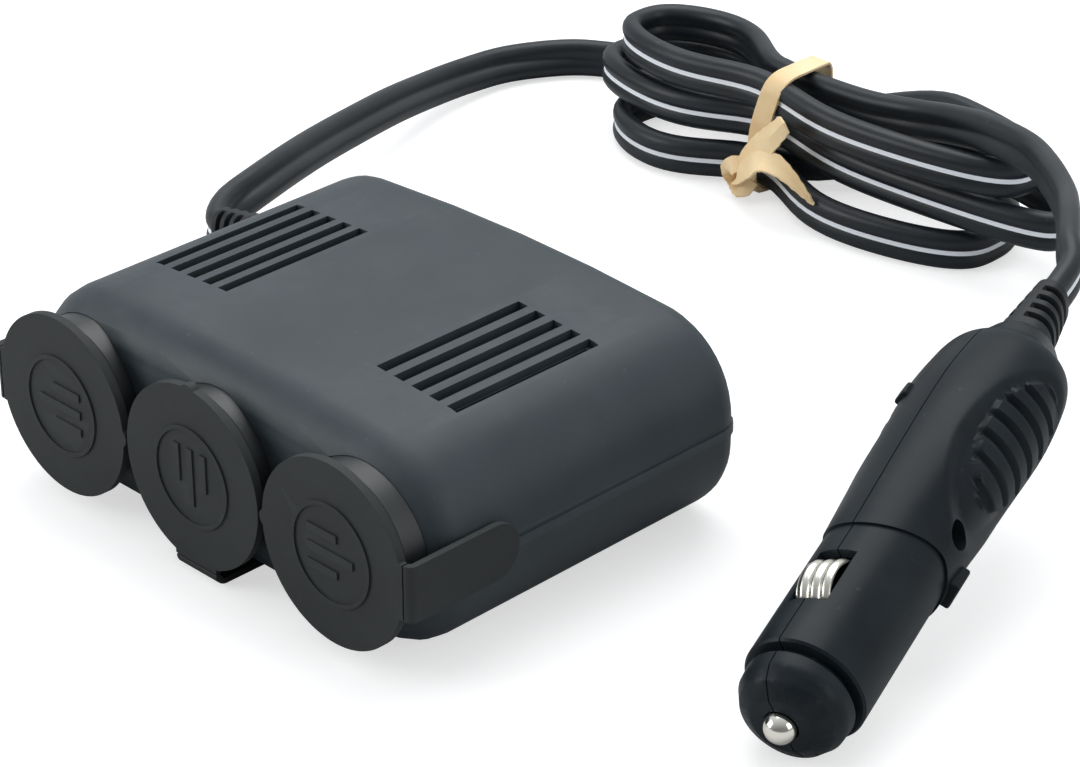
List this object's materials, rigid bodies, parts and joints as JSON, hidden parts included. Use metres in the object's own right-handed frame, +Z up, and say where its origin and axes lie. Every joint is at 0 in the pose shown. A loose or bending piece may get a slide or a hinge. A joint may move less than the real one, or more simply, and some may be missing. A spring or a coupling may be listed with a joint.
{
  "type": "car power socket splitter",
  "caption": "Capped sockets side by side in a low housing, fed by a flat cord in a tied hank from a car plug.",
  "frame": {"origin": "bottom centre of the splitter's housing and caps, on the surface that it stands on", "axes": "+X to the right seen from the sockets' side, +Y from the sockets to the back wall, +Z up; the cord leaves at -X"},
  "size_m": [0.2314, 0.2131, 0.0403],
  "materials": {
    "housing_plastic": "fine matt dark slate grey",
    "lower_plastic": "fine matt dark slate grey",
    "barrel_plastic": "smooth black",
    "cap_rubber": "matt soft black-grey",
    "nickel": "satin nickel plating",
    "brass": "plain brass",
    "screw_steel": "zinc plated",
    "cord_pvc": "satin black, pale stripe in the groove",
    "lead_red": "red insulation",
    "lead_black": "black insulation",
    "tie_tan": "soft tan band",
    "plug_plastic": "satin black",
    "boot_rubber": "matt black",
    "glass_tube": "clear",
    "spring_steel": "bright wire"
  },
  "bodies": {
    "splitter": {"upper_shell": "housing_plastic", "lower_shell": "lower_plastic", "housing_screws": "screw_steel", "left_socket_barrel": "barrel_plastic", "middle_socket_barrel": "barrel_plastic", "right_socket_barrel": "barrel_plastic", "left_ground_sleeve": "nickel", "middle_ground_sleeve": "nickel", "right_ground_sleeve": "nickel", "left_centre_contact": "brass", "middle_centre_contact": "brass", "right_centre_contact": "brass", "left_cap_strap": "cap_rubber", "middle_cap_strap": "cap_rubber", "right_cap_strap": "cap_rubber", "positive_bus_bar": "brass", "negative_bus_bar": "nickel", "positive_lead": "lead_red", "negative_lead": "lead_black", "cord_clamp": "barrel_plastic", "clamp_screws": "screw_steel", "strain_relief": "boot_rubber", "cord_tail": "cord_pvc", "cord_lead_in": "cord_pvc", "cord_hank": "cord_pvc", "cord_lead_out": "cord_pvc", "hank_tie": "tie_tan", "plug_left_shell": "plug_plastic", "plug_right_shell": "plug_plastic", "plug_screw": "screw_steel", "plug_boot": "boot_rubber", "pin_spring": "spring_steel", "plug_terminal": "brass", "plug_cord_end": "cord_pvc", "plug_positive_lead": "lead_red", "plug_negative_lead": "lead_black", "side_contact_strap": "nickel"},
    "left_cap": {"left_cap": "cap_rubber"},
    "middle_cap": {"middle_cap": "cap_rubber"},
    "right_cap": {"right_cap": "cap_rubber"},
    "centre_pin": {"plug_centre_pin": "nickel", "fuse_glass": "glass_tube", "fuse_ends": "nickel"},
    "upper_contact": {"upper_side_contact": "nickel"},
    "lower_contact": {"lower_side_contact": "nickel"}
  },
  "joints": [
    {"name": "right_cap_hinge", "type": "hinge", "parent": "splitter", "child": "right_cap", "pos_m": [0.05205, -0.04015, 0.0198], "axis": [0, 0, 1], "range_deg": [0, 120]},
    {"name": "left_cap_hinge", "type": "hinge", "parent": "splitter", "child": "left_cap", "pos_m": [-0.05205, -0.04015, 0.0198], "axis": [0, 0, -1], "range_deg": [0, 120]},
    {"name": "middle_cap_hinge", "type": "hinge", "parent": "splitter", "child": "middle_cap", "pos_m": [0, -0.04015, 0.00275], "axis": [1, 0, 0], "range_deg": [0, 90]},
    {"name": "centre_pin_slide", "type": "slide", "parent": "splitter", "child": "centre_pin", "axis": [-0.2756, 0.9366, 0.2164], "range_m": [0, 0.0022], "stiffness_N_per_m": 900, "springref_m": -0.004, "deforming": ["pin_spring"]},
    {"name": "upper_contact_slide", "type": "slide", "parent": "splitter", "child": "upper_contact", "axis": [0.2867, 0.295, -0.9115], "range_m": [0, 0.0012], "stiffness_N_per_m": 1500, "springref_m": -0.001},
    {"name": "lower_contact_slide", "type": "slide", "parent": "splitter", "child": "lower_contact", "axis": [-0.2867, -0.295, 0.9115], "range_m": [0, 0.0012], "stiffness_N_per_m": 1500, "springref_m": -0.001}
  ]
}
